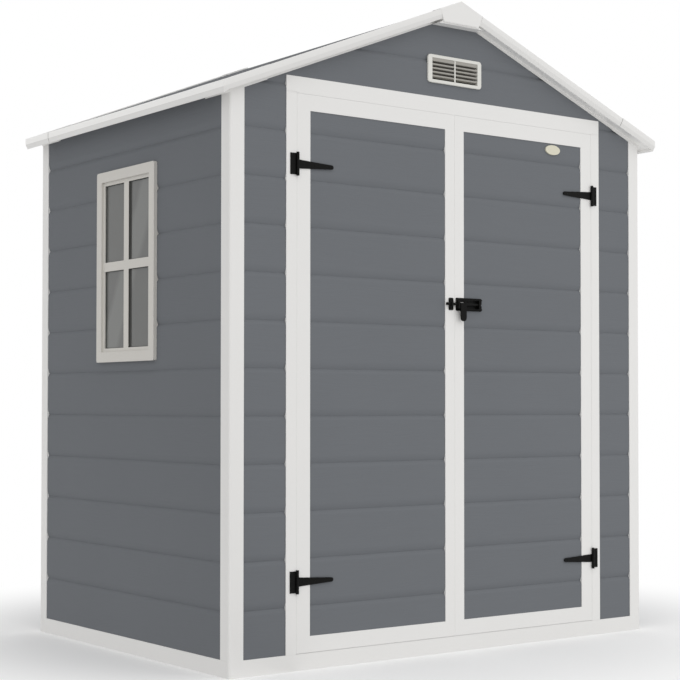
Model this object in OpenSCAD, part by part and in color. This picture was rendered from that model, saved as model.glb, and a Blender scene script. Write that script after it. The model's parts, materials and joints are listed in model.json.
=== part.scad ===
// Garden shed with lap siding, white trim and two hinged doors.
// Millimetres, +Z up. The origin is on the ground at the middle of the base, and the doors face -Y.

/* [Body] */
// Width of the walls across the front, over the corner posts
body_w = 1850; // [1750:5:2100]
// Depth of the walls from front to back, over the corner posts
body_d = 1350; // [1250:5:1700]
// Height at which the roof trim meets the side walls
eave_z = 1852; // [1846:1:1950]
// Height of the base rail that runs round the foot of the walls
base_h = 54; // [46:1:60]
// Thickness of the floor panel
floor_t = 35; // [25:1:42]
// Width of each corner post on both of its faces
post_w = 53; // [40:1:70]
// Thickness of the posts, base rails and door surround
post_t = 22.5; // [21:0.5:30]
// Radius of the upright outer corners
corner_r = 7; // [4:0.5:12]

/* [Siding] */
// Thickness of the wall and door panels
wall_t = 20; // [16:0.5:24]
// How far the boards lie behind the posts
board_in = 2.5; // [1:0.25:5]
// Height of the lowest lap line
lap_first = 206; // [190:1:220]
// Height from one lap line to the next
lap_pitch = 154.4; // [140:0.2:170]
// Depth of the groove at a lap line
lap_depth = 6.5; // [3:0.5:9]
// Height over which a board curves in above a lap line
lap_above = 26; // [15:1:35]
// Height over which the next board comes back out below it
lap_below = 15; // [8:1:22]

/* [Roof] */
// Slope of each side of the roof, in degrees
roof_pitch = 22; // [21.5:0.5:26]
// How far the roof trim stands out past the front and back walls
gable_over = 41; // [32:0.5:60]
// How far the roof trim stands out past the side walls
eave_over = 49.5; // [40:0.5:70]
// Height of the top of the roof trim over the foot of the trim at the wall, measured straight up
trim_h = 45; // [43:1:60]
// Length of each corner cap along the roof edges
corner_cap_len = 150; // [100:5:200]
// Length of each side of the ridge end, along the slope
ridge_end_len = 88; // [70:1:120]
// Half width of the ridge cap, which lies flush in the roof
ridge_cap_half = 120; // [100:1:150]

/* [Doors] */
// Distance from the side of the body to the outer edge of the door surround
side_w = 214.5; // [190:0.5:225]
// Top of the door surround
header_top = 1932; // [1920:1:1940]
// Top of the door leaves
leaf_top = 1875.5; // [1860:0.5:1880]
// Width of the jamb beside each leaf
jamb_w = 38.5; // [30:0.5:50]
// Gap round each leaf, and between the two leaves
door_gap = 5; // [5:0.5:6]
// Thickness of a leaf frame
leaf_t = 28; // [25:0.5:35]
// Width of the upright on the hinge side of a leaf
hinge_stile_w = 51; // [40:0.5:60]
// Width of the upright on the meeting side of a leaf
meeting_stile_w = 40; // [35:0.5:50]
// Height of the bottom member of a leaf
bottom_rail_h = 49.6; // [40:0.2:70]
// Height of the top member of a leaf
top_rail_h = 51.5; // [40:0.5:70]

/* [Hinges and bolt] */
// Height of the lower hinges
hinge_low_z = 287; // [240:1:330]
// Height of the upper hinges
hinge_high_z = 1645; // [1600:1:1700]
// Length of a hinge strap from the pin to its tip
strap_len = 145; // [110:1:180]
// Height of the bolt
bolt_z = 1213; // [1150:1:1260]
// Diameter of the bolt rod
bolt_d = 10; // [8:0.5:11]

/* [Window and vents] */
// Width of the window frame
window_w = 413; // [350:1:450]
// Height of the window frame
window_h = 677; // [600:1:720]
// Height of the middle of the window
window_z = 1349.5; // [1300:0.5:1400]
// Width of a gable vent
vent_w = 244; // [200:1:280]
// Height of a gable vent
vent_h = 98.7; // [90:0.1:110]
// Height of the middle of a gable vent
vent_z = 2030.5; // [2020:0.5:2040]
// Number of slots in each half of a gable vent
slot_rows = 5; // [3:1:5]

/* [Hidden] */
$fn = 48;
siding_grey = "#72767b";
trim_white = "#e0dfdd";
window_white = "#cfccc5";
roof_grey = "#55595e";
floor_grey = "#8a8d90";
hardware_black = "#1e1d1b";
glass_grey = "#8d9190";

half_w = body_w / 2;
half_d = body_d / 2;
in_w = half_w - post_t;
in_d = half_d - post_t;
front_y = -half_d;
board_y = front_y + board_in;
board_x = -half_w + board_in;

// Levels of the roof, straight up from the line where its trim meets the walls
roof_under = 13;
roof_top = 41;
roof_mid = (roof_under + roof_top) / 2;
face_foot = 24.5;
rake_foot = 8.5;
eave_foot = 4.5;
ridge_foot = 2.66;
soffit_up = 10;
lip_up = 0.5;

// Sizes of the roof trim
trim_t = 4;
flange_w = 30;
bevel_in = 5.5;
bevel_reach = 1.5;
lip_t = 3;
foot_w = 18;
cap_proud = 1;
cap_drop = 2;
roof_x = half_w + eave_over - trim_t;
roof_y = half_d + gable_over - trim_t;
slope_len = half_w / cos(roof_pitch);
ridge_cap_t = 4;
ridge_end_proud = 1.5;
ridge_soffit_drop = 4;
ridge_soffit_in = 6;
seam = 0.3;

door_x = half_w - side_w;
leaf_x = door_x - jamb_w - door_gap;
leaf_bottom = base_h + door_gap;
header_bottom = leaf_top + door_gap;
meet_x = door_gap / 2;
panel_x0 = -leaf_x + hinge_stile_w;
panel_x1 = -meet_x - meeting_stile_w;
panel_z0 = leaf_bottom + bottom_rail_h;
panel_z1 = leaf_top - top_rail_h;

hinge_x = leaf_x + door_gap / 2;
hinge_r = 5;
hinge_y = front_y - 6;
pin_r = 2.5;
pin_clear = 0.4;
knuckle_h = 77;
knuckle_gap = 0.5;
strap_knuckle_h = 31;
plate_t = 3;
plate_h = 70;
plate_w = 20;
plate_gap = 1.5;
strap_root_h = 30;
strap_tip_h = 14;
strap_lift = 0.1;

bolt_y = front_y - 9;
bolt_clear = 0.5;
bolt_tip_x = -43;
bolt_end_x = 110;
guide_y = front_y - 17;
keeper_x0 = -28;
keeper_x1 = -8;
keeper_h = 43;
keeper_guide_x = -27;
keeper_guide_w = 8;
keeper_guide_h = 16;
latch_x0 = 4;
latch_x1 = 122;
latch_h = 45;
latch_r = 4;
latch_guide_w = 8;
latch_guide_h = 30;
latch_guide_x = 99;
latch_notch_in = 11;
latch_notch_h = 4.5;
latch_rib_h = 5;
latch_rib_z = 16.5;
latch_slot = [23, 41];
latch_slot_h = 3;
latch_slot_gap = 0.5;
handle_x = 27;
handle_w = 26;
handle_t = 4.5;
handle_drop = 60;
handle_top = 4;
handle_neck_w = 14;

badge_x = 472;
badge_z = 1800;
badge_w = 72;
badge_h = 36;
badge_t = 5;

window_proud = 10;
window_flange = 20;
window_frame_w = 36;
sash_w = 13;
sash_in = 7;
upright_bar_w = 34;
level_bar_h = 32;
glass_in = 14;
glass_t = 4;
window_r = 8;
window_face_x = -half_w - window_proud;

vent_proud = 5;
vent_r = 12;
vent_side = 18.5;
vent_edge = 11.5;
vent_flange = 10;
vent_mullion = 6;
slot_share = 0.7;
slot_band = 8.2;
slat_in = 2;
slat_t = 6;

// Height of a line in the roof at a distance x from the ridge, "up" above the foot of its trim
function roof_z(x, up) = eave_z + tan(roof_pitch) * (half_w - abs(x)) + up;

// Extrudes a drawing in X and Z from y0 to y1
module along_y(y0, y1) {
    translate([0, y1, 0]) rotate([90, 0, 0]) linear_extrude(y1 - y0) children();
}

// Extrudes a drawing in Y and Z from x0 to x1
module along_x(x0, x1) {
    translate([x0, 0, 0]) rotate([90, 0, 90]) linear_extrude(x1 - x0) children();
}

// Puts children on the left slope: X runs up the slope and Z stands square to it
module on_left_slope() {
    translate([-half_w, 0, eave_z]) rotate([0, -roof_pitch, 0]) children();
}

module block(low, high) {
    translate(low) cube(high - low);
}

module rectangle(low, high) {
    translate(low) square(high - low);
}

module rounded_rectangle(w, h, r) {
    square([w - 2 * r, h], center = true);
    square([w, h - 2 * r], center = true);
    for (sx = [-1, 1], sy = [-1, 1])
        translate([sx * (w / 2 - r), sy * (h / 2 - r)]) circle(r);
}

// ---- Walls ----

// Section through a wall or door panel: boards on the left, with a groove at each lap line
module siding_section() {
    top_z = roof_z(0, 0);
    laps = [for (z = [lap_first : lap_pitch : top_z - lap_above]) z];
    outer = [for (z = laps) each [[0, z - lap_below], [lap_depth, z], [0, z + lap_above]]];
    polygon(concat([[wall_t, 0], [0, 0]], outer, [[0, top_z + 50], [wall_t, top_z + 50]]));
}

module front_siding(x0, x1) {
    along_x(x0, x1) translate([board_y, 0]) siding_section();
}

module left_siding(y0, y1) {
    along_y(y0, y1) translate([board_x, 0]) siding_section();
}

// Everything over the walls and under the roof panels
module under_roof(z0) {
    foot_z = roof_z(roof_x, roof_under);
    along_y(-half_d, half_d) polygon([
        [-roof_x, z0], [roof_x, z0], [roof_x, foot_z], [0, roof_z(0, roof_under)], [-roof_x, foot_z]]);
}

module shell_outline() {
    difference() {
        rounded_rectangle(body_w, body_d, corner_r);
        square([2 * in_w, 2 * in_d], center = true);
    }
}

module floor_panel() {
    color(floor_grey) block([-in_w, -in_d, 0], [in_w, in_d, floor_t]);
}

module end_sill(side) {
    color(trim_white) linear_extrude(base_h) intersection() {
        shell_outline();
        translate([0, side * (half_d - post_t / 2)]) square([body_w, post_t], center = true);
    }
}

module side_sill(side) {
    color(trim_white) linear_extrude(base_h) intersection() {
        shell_outline();
        translate([side * (half_w - post_t / 2), 0]) square([post_t, 2 * in_d], center = true);
    }
}

// Outline of the corner post at the front left
module post_outline() {
    intersection() {
        shell_outline();
        translate([-half_w, -half_d]) square(post_w);
    }
}

module front_left_post() {
    color(trim_white) intersection() {
        linear_extrude(2 * eave_z) post_outline();
        under_roof(base_h);
    }
}

module front_wall_left() {
    color(siding_grey) intersection() {
        front_siding(-half_w + post_w, -door_x);
        under_roof(base_h);
    }
}

module vent_hole() {
    block([-vent_w / 2 + vent_flange, -half_d, vent_z - vent_h / 2 + vent_flange],
        [vent_w / 2 - vent_flange, -in_d + 1, vent_z + vent_h / 2 - vent_flange]);
}

module front_gable() {
    color(siding_grey) difference() {
        intersection() {
            front_siding(-door_x, door_x);
            under_roof(header_top);
        }
        vent_hole();
    }
}

module back_wall() {
    color(siding_grey) mirror([0, 1, 0]) difference() {
        intersection() {
            front_siding(-half_w + post_w, half_w - post_w);
            under_roof(base_h);
        }
        vent_hole();
    }
}

module plain_left_wall() {
    intersection() {
        left_siding(-half_d + post_w, half_d - post_w);
        under_roof(base_h);
    }
}

module left_wall() {
    color(siding_grey) difference() {
        plain_left_wall();
        along_x(-half_w, -in_w + 1) window_rectangle(window_flange);
    }
}

module right_wall() {
    color(siding_grey) mirror([1, 0, 0]) plain_left_wall();
}

// ---- Door surround ----

module left_jamb() {
    color(trim_white)
        block([-door_x, front_y, base_h], [-door_x + jamb_w, front_y + post_t, header_bottom]);
}

module door_header() {
    color(trim_white)
        block([-door_x, front_y, header_bottom], [door_x, front_y + post_t, header_top]);
}

// ---- Window ----

module window_rectangle(inset) {
    translate([0, window_z]) square([window_w - 2 * inset, window_h - 2 * inset], center = true);
}

module window_frame() {
    frame_inset = window_frame_w;
    pane_inset = window_frame_w + sash_w;
    color(window_white) difference() {
        union() {
            along_x(window_face_x, board_x)
                translate([0, window_z]) rounded_rectangle(window_w, window_h, window_r);
            along_x(board_x, -in_w) window_rectangle(window_flange);
        }
        // Step down to the sash, then the panes
        along_x(window_face_x - 1, window_face_x + sash_in) window_rectangle(frame_inset);
        along_x(window_face_x, window_face_x + glass_in) difference() {
            window_rectangle(pane_inset);
            window_bars();
        }
        along_x(window_face_x + glass_in, -in_w + 1) window_rectangle(pane_inset);
    }
}

module window_bars() {
    translate([0, window_z]) square([upright_bar_w, window_h], center = true);
    translate([0, window_z]) square([window_w, level_bar_h], center = true);
}

module window_glass() {
    color(glass_grey, 0.6)
        along_x(window_face_x + glass_in, window_face_x + glass_in + glass_t)
            window_rectangle(window_frame_w + sash_w);
}

// ---- Gable vents ----

module vent_square(w, h) {
    translate([0, vent_z]) square([w, h], center = true);
}

module vent() {
    face_y = front_y - vent_proud;
    back_y = -in_d;
    open_w = vent_w - 2 * vent_side;
    open_h = vent_h - 2 * vent_edge;
    slot_w = (open_w - vent_mullion) / 2;
    slot_pitch = (open_h - slot_band) / slot_rows;
    difference() {
        union() {
            along_y(face_y, board_y) translate([0, vent_z]) rounded_rectangle(vent_w, vent_h, vent_r);
            along_y(board_y, back_y)
                vent_square(vent_w - 2 * vent_flange, vent_h - 2 * vent_flange);
        }
        // The slats stand back from the frame, and the wall is open behind them
        along_y(face_y - 1, face_y + slat_in) vent_square(open_w, open_h);
        along_y(face_y + slat_t, back_y + 1) vent_square(open_w, open_h);
        for (side = [-1, 1], row = [0 : slot_rows - 1])
            translate([side * (vent_mullion + slot_w) / 2, 0, (row + 0.5) * slot_pitch - open_h / 2])
                along_y(face_y, face_y + slat_t + 1) vent_square(slot_w, slot_share * slot_pitch);
    }
}

module front_vent() {
    color(trim_white) vent();
}

module back_vent() {
    color(trim_white) mirror([0, 1, 0]) vent();
}

// ---- Roof ----

// Left side of the roof, from the ridge to the eave
module left_slope() {
    along_y(-roof_y, roof_y) polygon([
        [-roof_x, roof_z(roof_x, roof_under)], [0, roof_z(0, roof_under)],
        [0, roof_z(0, roof_top)], [-roof_x, roof_z(roof_x, roof_top)]]);
}

module both_slopes() {
    left_slope();
    mirror([1, 0, 0]) left_slope();
}

// Room over the ridge that the ridge cap fills
module ridge_rebate() {
    low = roof_top - ridge_cap_t;
    high = roof_top + 1;
    x = ridge_cap_half;
    along_y(board_y, -board_y) polygon([
        [-x, roof_z(x, low)], [0, roof_z(0, low)], [x, roof_z(x, low)],
        [x, roof_z(x, high)], [0, roof_z(0, high)], [-x, roof_z(x, high)]]);
}

module left_roof_panel() {
    color(roof_grey) difference() {
        left_slope();
        ridge_rebate();
    }
}

module ridge_cap() {
    color(roof_grey) intersection() {
        both_slopes();
        ridge_rebate();
    }
}

// Section of the trim along a sloping edge. X is the distance out from the boards, and the
// heights are straight up, so they are made square to the slope.
module rake_section(proud) {
    outer = gable_over + board_in + proud;
    inner = gable_over + board_in - trim_t - flange_w;
    corners = [[0, soffit_up], [outer - bevel_in, rake_foot], [outer, face_foot],
        [outer, trim_h + proud], [inner, trim_h + proud], [inner, roof_mid], [0, roof_mid]];
    polygon([for (corner = corners) [corner[0], corner[1] * cos(roof_pitch)]]);
}

// Strip that stands out t from the boards, between the level low and the roof
module lip_section(t, low) {
    translate([0, low * cos(roof_pitch)]) square([t, (roof_mid - low) * cos(roof_pitch)]);
}

// Runs a section along the front left edge, from s0 to s1 up the slope
module along_rake(s0, s1) {
    on_left_slope() along_x(s0, s1) translate([board_y, 0]) mirror([1, 0]) children();
}

module rake_trim() {
    color(trim_white) difference() {
        along_rake(corner_cap_len, slope_len - ridge_end_len) {
            rake_section(0);
            lip_section(lip_t, lip_up);
        }
        left_slope();
    }
}

// Trim along the left eave, with a foot under its face and a lip against the wall
module eave_channel(y0, y1, proud, lip, low) {
    wall = half_w - board_in;
    outer = half_w + eave_over + proud;
    foot = outer - foot_w;
    inner = half_w + eave_over - trim_t - flange_w;
    corners = [[wall, low], [wall + lip, low], [wall + lip, soffit_up], [foot, soffit_up],
        [foot, eave_foot], [outer - bevel_in, eave_foot], [outer, face_foot],
        [outer, trim_h + proud], [inner, trim_h + proud], [inner, roof_mid], [wall, roof_mid]];
    along_y(y0, y1) polygon([for (corner = corners) [-corner[0], roof_z(corner[0], corner[1])]]);
}

module left_eave_trim() {
    y = half_d - corner_cap_len;
    color(trim_white) difference() {
        eave_channel(-y, y, 0, lip_t, lip_up + cap_drop);
        left_slope();
    }
}

// Corners of the room outside a bevel, for a trim whose face is at outer
function outside_bevel(outer, foot) =
    let (deep = face_foot - bevel_reach * (face_foot - foot))
    [[outer - bevel_in, foot], [outer, face_foot], [outer + 1, face_foot],
        [outer + 1, deep], [outer - bevel_reach * bevel_in, deep]];

// Sleeve over the front left corner of the roof trim, with its two bevels mitred
module corner_cap() {
    lip = lip_t + cap_proud;
    outer_x = half_w + eave_over + cap_proud;
    outer_y = half_d + gable_over + cap_proud;
    low = lip_up - cap_drop;
    difference() {
        union() {
            intersection() {
                along_rake(-2 * eave_over, corner_cap_len) rake_section(cap_proud);
                block([-outer_x, -outer_y, 0], [0, 0, 2 * eave_z]);
            }
            intersection() {
                along_rake(-2 * eave_over, corner_cap_len) lip_section(lip, low);
                block([board_x - lip, -outer_y, 0], [0, 0, 2 * eave_z]);
            }
            eave_channel(board_y - lip, -half_d + corner_cap_len, cap_proud, lip, low);
            eave_channel(-outer_y, board_y, cap_proud, lip, soffit_up - seam);
        }
        along_rake(-2 * eave_over, eave_over) polygon([
            for (corner = outside_bevel(gable_over + board_in + cap_proud, rake_foot))
                [corner[0], corner[1] * cos(roof_pitch)]]);
        along_y(-outer_y - 1, board_y) polygon([
            for (corner = outside_bevel(outer_x, eave_foot))
                [-corner[0], roof_z(corner[0], corner[1])]]);
        left_slope();
        linear_extrude(2 * eave_z) post_outline();
    }
}

module roof_corner_caps() {
    color(trim_white) for (flip_x = [0, 1], flip_y = [0, 1])
        mirror([flip_x, 0, 0]) mirror([0, flip_y, 0]) corner_cap();
}

// Cap over the front end of the ridge: flat below, its sides square to the slopes, with a
// soffit behind its foot that runs out under the trim on both sides
module ridge_end() {
    top = trim_h + ridge_end_proud;
    s = slope_len - ridge_end_len + seam;
    side_x = half_w - s * cos(roof_pitch) + top * cos(roof_pitch) * sin(roof_pitch);
    side_z = roof_z(side_x, top);
    foot_z = roof_z(side_x, ridge_foot);
    foot_x = side_x - (side_z - foot_z) * tan(roof_pitch);
    face_y = front_y - gable_over - cap_proud;
    soffit_z = foot_z - ridge_soffit_drop;
    soffit_x = half_w - (soffit_z + seam - eave_z) / tan(roof_pitch);
    color(trim_white) difference() {
        union() {
            along_y(face_y, board_y) polygon([
                [-foot_x, foot_z], [foot_x, foot_z], [side_x, side_z],
                [0, roof_z(0, top)], [-side_x, side_z]]);
            along_y(face_y + ridge_soffit_in, board_y) polygon([
                [-soffit_x, soffit_z], [soffit_x, soffit_z],
                [foot_x, roof_z(foot_x, -seam)], [-foot_x, roof_z(foot_x, -seam)]]);
        }
        both_slopes();
    }
}

// ---- Doors ----

module left_door_frame() {
    color(trim_white) along_y(front_y, front_y + leaf_t) difference() {
        rectangle([-leaf_x, leaf_bottom], [-meet_x, leaf_top]);
        rectangle([panel_x0, panel_z0], [panel_x1, panel_z1]);
    }
}

module left_door_panel() {
    color(siding_grey) intersection() {
        front_siding(panel_x0, panel_x1);
        block([panel_x0, -half_d, panel_z0], [panel_x1, 0, panel_z1]);
    }
}

// Fixed leaf of a hinge on the left jamb, with its two outer knuckles and the pin
module hinge_plate(z) {
    plate_x = -hinge_x - hinge_r - plate_gap;
    outer_knuckle_h = (knuckle_h - strap_knuckle_h) / 2 - knuckle_gap;
    tab_h = (plate_h - strap_knuckle_h) / 2 - knuckle_gap;
    block([plate_x - plate_w, front_y - plate_t, z - plate_h / 2], [plate_x, front_y, z + plate_h / 2]);
    for (side = [-1, 1]) {
        translate([-hinge_x, hinge_y, z + side * (knuckle_h - outer_knuckle_h) / 2])
            cylinder(h = outer_knuckle_h, r = hinge_r, center = true);
        translate([plate_x - 1, front_y - plate_t, z + side * (plate_h - tab_h) / 2 - tab_h / 2])
            cube([-hinge_x - plate_x + 1, plate_t - knuckle_gap, tab_h]);
    }
    translate([-hinge_x, hinge_y, z]) cylinder(h = knuckle_h, r = pin_r, center = true);
}

// Moving leaf of a hinge: a knuckle and a strap that tapers to a round tip
module hinge_strap(z) {
    tip_x = -hinge_x + strap_len - strap_tip_h / 2;
    difference() {
        union() {
            translate([-hinge_x, hinge_y, z])
                cylinder(h = strap_knuckle_h, r = hinge_r, center = true);
            along_y(front_y - plate_t, front_y - strap_lift) {
                polygon([[-hinge_x, z - strap_root_h / 2], [tip_x, z - strap_tip_h / 2],
                    [tip_x, z + strap_tip_h / 2], [-hinge_x, z + strap_root_h / 2]]);
                translate([tip_x, z]) circle(d = strap_tip_h);
            }
        }
        translate([-hinge_x, hinge_y, z])
            cylinder(h = knuckle_h, r = pin_r + pin_clear, center = true);
    }
}

module hinge_straps() {
    color(hardware_black) {
        hinge_strap(hinge_low_z);
        hinge_strap(hinge_high_z);
    }
}

module hinge_plates() {
    color(hardware_black) for (flip = [0, 1], z = [hinge_low_z, hinge_high_z])
        mirror([flip, 0, 0]) hinge_plate(z);
}

// ---- Bolt ----

module latch_plate(x0, x1, h) {
    along_y(front_y - plate_t, front_y) translate([(x0 + x1) / 2, bolt_z])
        rounded_rectangle(x1 - x0, h, latch_r);
}

// Block that the bolt runs through
module bolt_guide(x, w, h) {
    block([x, guide_y, bolt_z - h / 2], [x + w, front_y - plate_t / 2, bolt_z + h / 2]);
}

module bolt_bore() {
    translate([-half_w, bolt_y, bolt_z]) rotate([0, 90, 0])
        cylinder(h = body_w, d = bolt_d + 2 * bolt_clear);
}

module latch_body() {
    rib_y = front_y - 2 * plate_t;
    slot_z = bolt_z + bolt_d / 2 + latch_slot_gap;
    color(hardware_black) difference() {
        union() {
            latch_plate(latch_x0, latch_x1, latch_h);
            bolt_guide(latch_x0, latch_guide_w, latch_guide_h);
            bolt_guide(latch_guide_x, latch_guide_w, latch_guide_h);
            for (side = [-1, 1])
                translate([latch_x0, rib_y, bolt_z + side * latch_rib_z - latch_rib_h / 2])
                    cube([latch_x1 - latch_x0, plate_t + 1, latch_rib_h]);
        }
        bolt_bore();
        block([latch_x1 - latch_notch_in, guide_y, bolt_z - latch_notch_h / 2],
            [latch_x1 + 1, front_y + 1, bolt_z + latch_notch_h / 2]);
        block([latch_slot[0], guide_y, slot_z], [latch_slot[1], front_y + 1, slot_z + latch_slot_h]);
    }
}

module latch_keeper() {
    color(hardware_black) difference() {
        union() {
            latch_plate(keeper_x0, keeper_x1, keeper_h);
            bolt_guide(keeper_guide_x, keeper_guide_w, keeper_guide_h);
        }
        bolt_bore();
    }
}

// Rod with a flat handle that hangs from a short neck
module latch_bolt() {
    tip_z = bolt_z - handle_drop + handle_w / 2;
    tab_y = bolt_y - bolt_d / 2;
    color(hardware_black) {
        translate([bolt_tip_x, bolt_y, bolt_z]) rotate([0, 90, 0])
            cylinder(h = bolt_end_x - bolt_tip_x, d = bolt_d);
        block([handle_x - handle_neck_w / 2, tab_y - 1, bolt_z - handle_top],
            [handle_x + handle_neck_w / 2, bolt_y, bolt_z + handle_top]);
        along_y(tab_y - handle_t, tab_y - knuckle_gap) {
            rectangle([handle_x - handle_w / 2, tip_z], [handle_x + handle_w / 2, bolt_z + handle_top]);
            translate([handle_x, tip_z]) circle(d = handle_w);
        }
    }
}

// Bare oval plate near the top of the right door
module badge_plate() {
    steps = 48;
    color(trim_white) along_y(board_y - badge_t, board_y) translate([badge_x, badge_z])
        polygon([for (i = [0 : steps - 1])
            [badge_w / 2 * cos(i * 360 / steps), badge_h / 2 * sin(i * 360 / steps)]]);
}

floor_panel();
end_sill(-1);  // front_sill
end_sill(1);  // back_sill
side_sill(-1);  // left_sill
side_sill(1);  // right_sill
front_left_post();
mirror([1, 0, 0]) front_left_post();  // front_right_post
mirror([0, 1, 0]) front_left_post();  // back_left_post
mirror([1, 0, 0]) mirror([0, 1, 0]) front_left_post();  // back_right_post
front_wall_left();
mirror([1, 0, 0]) front_wall_left();  // front_wall_right
front_gable();
left_wall();
right_wall();
back_wall();
left_jamb();
mirror([1, 0, 0]) left_jamb();  // right_jamb
door_header();
window_frame();
window_glass();
front_vent();
back_vent();
left_roof_panel();
mirror([1, 0, 0]) left_roof_panel();  // right_roof_panel
ridge_cap();
ridge_end();  // front_ridge_end
mirror([0, 1, 0]) ridge_end();  // back_ridge_end
left_eave_trim();
mirror([1, 0, 0]) left_eave_trim();  // right_eave_trim
rake_trim();  // front_left_rake_trim
mirror([1, 0, 0]) rake_trim();  // front_right_rake_trim
mirror([0, 1, 0]) rake_trim();  // back_left_rake_trim
mirror([1, 0, 0]) mirror([0, 1, 0]) rake_trim();  // back_right_rake_trim
roof_corner_caps();
hinge_plates();
left_door_frame();
left_door_panel();
hinge_straps();  // left_hinge_straps
latch_keeper();
mirror([1, 0, 0]) left_door_frame();  // right_door_frame
mirror([1, 0, 0]) left_door_panel();  // right_door_panel
mirror([1, 0, 0]) hinge_straps();  // right_hinge_straps
latch_body();
badge_plate();
latch_bolt();
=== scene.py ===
"""Garden shed with lap siding, white trim, two hinged doors, a side window and gable vents."""

import json
import math

import bmesh
import bpy
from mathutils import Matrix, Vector

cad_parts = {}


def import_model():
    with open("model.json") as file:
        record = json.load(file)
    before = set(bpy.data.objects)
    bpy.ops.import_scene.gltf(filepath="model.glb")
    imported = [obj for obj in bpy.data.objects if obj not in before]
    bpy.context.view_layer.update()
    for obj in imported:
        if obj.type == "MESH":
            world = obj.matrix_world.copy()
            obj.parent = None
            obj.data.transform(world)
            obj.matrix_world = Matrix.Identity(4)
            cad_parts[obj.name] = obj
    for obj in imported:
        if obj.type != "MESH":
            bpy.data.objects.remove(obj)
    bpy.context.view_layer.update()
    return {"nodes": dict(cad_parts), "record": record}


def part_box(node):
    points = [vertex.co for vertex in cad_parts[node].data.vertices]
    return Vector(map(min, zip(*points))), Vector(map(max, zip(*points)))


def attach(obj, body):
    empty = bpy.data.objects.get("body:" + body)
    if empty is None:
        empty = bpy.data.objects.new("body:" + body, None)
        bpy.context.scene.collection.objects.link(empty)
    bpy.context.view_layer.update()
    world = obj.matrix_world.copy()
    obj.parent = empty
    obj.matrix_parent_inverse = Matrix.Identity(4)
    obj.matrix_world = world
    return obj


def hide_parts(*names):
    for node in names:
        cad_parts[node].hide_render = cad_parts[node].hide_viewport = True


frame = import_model()
SLOT = {part["node"]: part["material_slot"] for part in frame["record"]["subparts"]}
BODIES = frame["record"]["behaviour"]["bodies"]
BODY = {node: body for body, nodes in BODIES.items() for node in nodes}
MM = 0.001

# ---- Camera ----

cam_data = bpy.data.cameras.new("camera")
cam = bpy.data.objects.new("camera", cam_data)
bpy.context.scene.collection.objects.link(cam)
bpy.context.scene.camera = cam
cam.location = (-3.6114, -4.9731, 0.8641)
cam.rotation_euler = (math.radians(91.388), 0, math.radians(-37.496))
cam_data.sensor_width = 36
cam_data.lens = 84.84
cam_data.shift_x = -0.06417
cam_data.shift_y = 0.03665
cam_data.dof.use_dof = False
bpy.context.scene.view_settings.view_transform = "Standard"

# ---- Shape of the boards and the roof, in metres ----

LAP_COUNT = 14
LAP_FIRST = 206 * MM
LAP_PITCH = 154.4 * MM
LAP_DEPTH = 6.5 * MM
LAP_ABOVE = 26 * MM
LAP_BELOW = 15 * MM
FRONT_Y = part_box("front_sill")[0].y
BOARD_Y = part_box("left_door_panel")[0].y
BOARD_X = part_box("left_wall")[0].x

# Outer lower edge of the left roof panel, and the slope of both panels
roof_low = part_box("left_roof_panel")[0]
ROOF_PITCH = math.radians(22)
ROOF_SLOPE = math.tan(ROOF_PITCH)


def roof_under(x):
    """Height of the underside of the roof panels at a distance x from the ridge."""
    return roof_low.z + ROOF_SLOPE * (-roof_low.x - abs(x))


def half_width_at(z):
    """Half the width under the roof panels at the height z."""
    return -roof_low.x - (z - roof_low.z) / ROOF_SLOPE


# ---- Materials ----


def linear(*levels):
    """Colour levels from 0 to 255, as the linear values that a shader takes."""
    return [(c / 255 / 12.92) if c < 11 else ((c / 255 + 0.055) / 1.055) ** 2.4 for c in levels]


class Nodes:
    """A node tree, with short calls that add to it. Values may be numbers or sockets."""

    def __init__(self, tree):
        self.tree = tree

    def add(self, kind, **settings):
        made = self.tree.nodes.new(kind)
        for key, value in settings.items():
            setattr(made, key, value)
        return made

    def link(self, source, target):
        self.tree.links.new(source, target)

    def feed(self, node, name, value):
        if isinstance(value, bpy.types.NodeSocket):
            self.link(value, node.inputs[name])
        else:
            node.inputs[name].default_value = value

    def math(self, operation, a, b=0.0):
        made = self.add("ShaderNodeMath", operation=operation)
        self.feed(made, 0, a)
        self.feed(made, 1, b)
        return made.outputs[0]

    def spread(self, value, low, high, out_low, out_high, **settings):
        """Maps low to high onto out_low to out_high, and keeps within them."""
        made = self.add("ShaderNodeMapRange", **settings)
        for key, level in (("Value", value), ("From Min", low), ("From Max", high),
                           ("To Min", out_low), ("To Max", out_high)):
            self.feed(made, key, level)
        return made.outputs["Result"]

    def emission(self, strength):
        made = self.add("ShaderNodeEmission")
        self.feed(made, "Color", (1, 1, 1, 1))
        self.feed(made, "Strength", strength)
        return made.outputs[0]

    def mix_shaders(self, factor, first, second):
        made = self.add("ShaderNodeMixShader")
        for k, socket in enumerate((factor, first, second)):
            self.link(socket, made.inputs[k])
        return made.outputs[0]


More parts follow.
